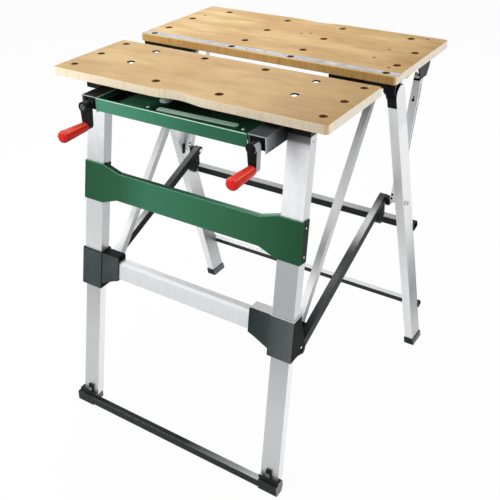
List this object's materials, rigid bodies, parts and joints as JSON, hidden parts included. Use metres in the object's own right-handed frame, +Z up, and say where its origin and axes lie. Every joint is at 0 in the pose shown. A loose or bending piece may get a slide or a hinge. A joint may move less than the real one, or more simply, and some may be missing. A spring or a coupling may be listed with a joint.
{
  "type": "folding workbench",
  "caption": "Folding workbench with a two-piece bamboo vice top, twin crank screws, tool tray, telescoping aluminium front legs and folding rear legs.",
  "frame": {"origin": "centre of the bounding box on the floor", "axes": "+Z up, +X along the jaws to the right as seen from the front, +Y to the back"},
  "size_m": [0.68, 0.7344, 0.834],
  "materials": {
    "bamboo": "laminated bamboo with a clear satin finish",
    "aluminium": "brushed, matt",
    "black_steel": "satin black powder coat",
    "dark_plastic": "moulded, matt",
    "green_paint": "satin powder coat",
    "red_plastic": "moulded, satin gloss",
    "bright_steel": "zinc plated"
  },
  "bodies": {
    "table": {"rear_jaw": "bamboo", "ruler_strip": "bright_steel", "tool_tray": "green_paint", "front_panel": "green_paint", "cross_beam": "aluminium", "rail_left": "black_steel", "rail_right": "black_steel", "rear_support_left": "black_steel", "rear_support_right": "black_steel", "screw_bearing_left": "dark_plastic", "screw_bearing_right": "dark_plastic", "apex_bracket_left": "black_steel", "apex_bracket_right": "black_steel", "apex_pin_left": "bright_steel", "apex_pin_right": "bright_steel", "strut_bracket_left": "black_steel", "strut_bracket_right": "black_steel", "leg_head_left": "dark_plastic", "leg_head_right": "dark_plastic", "upper_leg_left": "aluminium", "upper_leg_right": "aluminium", "corner_bracket_left": "dark_plastic", "corner_bracket_right": "dark_plastic", "inner_leg_left": "aluminium", "inner_leg_right": "aluminium"},
    "front_jaw": {"front_jaw": "bamboo", "jaw_carriage_left": "bright_steel", "jaw_carriage_right": "bright_steel"},
    "lower_frame": {"foot_bar": "black_steel", "lower_leg_left": "aluminium", "lower_leg_right": "aluminium", "front_foot_left": "dark_plastic", "front_foot_right": "dark_plastic", "foot_latch_left": "dark_plastic", "foot_latch_right": "dark_plastic"},
    "rear_frame": {"rear_upper_bar": "black_steel", "rear_lower_bar": "black_steel", "rear_leg_left": "aluminium", "rear_leg_right": "aluminium", "leg_shroud_left": "black_steel", "leg_shroud_right": "black_steel", "rear_foot_left": "dark_plastic", "rear_foot_right": "dark_plastic", "strut_pin_left": "bright_steel", "strut_pin_right": "bright_steel"},
    "crank_left": {"lead_screw_left": "bright_steel", "crank_arm_left": "black_steel"},
    "handle_left": {"handle_grip_left": "red_plastic", "handle_bolt_left": "bright_steel"},
    "link_left": {"link_left": "black_steel", "link_clip_left": "dark_plastic"},
    "strut_left": {"strut_left": "aluminium"},
    "crank_right": {"lead_screw_right": "bright_steel", "crank_arm_right": "black_steel"},
    "handle_right": {"handle_grip_right": "red_plastic", "handle_bolt_right": "bright_steel"},
    "link_right": {"link_right": "black_steel", "link_clip_right": "dark_plastic"},
    "strut_right": {"strut_right": "aluminium"}
  },
  "joints": [
    {"name": "crank_right_turn", "type": "hinge", "parent": "table", "child": "crank_right", "pos_m": [0.209, -0.27935, 0.7795], "axis": [0, 1, 0], "range_deg": [-2175, 4550]},
    {"name": "handle_right_spin", "type": "hinge", "parent": "crank_right", "child": "handle_right", "pos_m": [0.209, -0.29425, 0.735], "axis": [0, 1, 0], "continuous": true},
    {"name": "link_right_swing", "type": "hinge", "parent": "table", "child": "link_right", "pos_m": [0.2736, -0.22775, 0.313], "axis": [1, 0, 0], "range_deg": [-0.5, 56.5]},
    {"name": "strut_right_swing", "type": "hinge", "parent": "rear_frame", "child": "strut_right", "pos_m": [0.3, 0.18325, 0.482], "axis": [1, 0, 0], "range_deg": [-0.5, 30.5]},
    {"name": "crank_left_turn", "type": "hinge", "parent": "table", "child": "crank_left", "pos_m": [-0.209, -0.27935, 0.7795], "axis": [0, 1, 0], "range_deg": [-2175, 4550]},
    {"name": "handle_left_spin", "type": "hinge", "parent": "crank_left", "child": "handle_left", "pos_m": [-0.209, -0.29425, 0.735], "axis": [0, 1, 0], "continuous": true},
    {"name": "link_left_swing", "type": "hinge", "parent": "table", "child": "link_left", "pos_m": [-0.2736, -0.22775, 0.313], "axis": [1, 0, 0], "range_deg": [-0.5, 56.5]},
    {"name": "strut_left_swing", "type": "hinge", "parent": "rear_frame", "child": "strut_left", "pos_m": [-0.3, 0.18325, 0.482], "axis": [1, 0, 0], "range_deg": [-0.5, 30.5]},
    {"name": "jaw_slide", "type": "slide", "parent": "table", "child": "front_jaw", "axis": [0, 1, 0], "range_m": [-0.03, 0.063]},
    {"name": "leg_extension", "type": "slide", "parent": "table", "child": "lower_frame", "axis": [0, 0.158, 0.9874], "range_m": [0, 0.25]},
    {"name": "rear_fold", "type": "hinge", "parent": "table", "child": "rear_frame", "pos_m": [0, 0.09825, 0.781], "axis": [1, 0, 0], "range_deg": [-40, 0]}
  ],
  "couplings": [
    {"joint": "crank_right_turn", "follows": "jaw_slide", "rad_per_m": 1256.6},
    {"joint": "crank_left_turn", "follows": "jaw_slide", "rad_per_m": 1256.6},
    {"joint": "link_left_swing", "follows": "rear_fold", "ratio": -1.4},
    {"joint": "strut_left_swing", "follows": "rear_fold", "ratio": -0.75},
    {"joint": "link_right_swing", "follows": "rear_fold", "ratio": -1.4},
    {"joint": "strut_right_swing", "follows": "rear_fold", "ratio": -0.75}
  ]
}
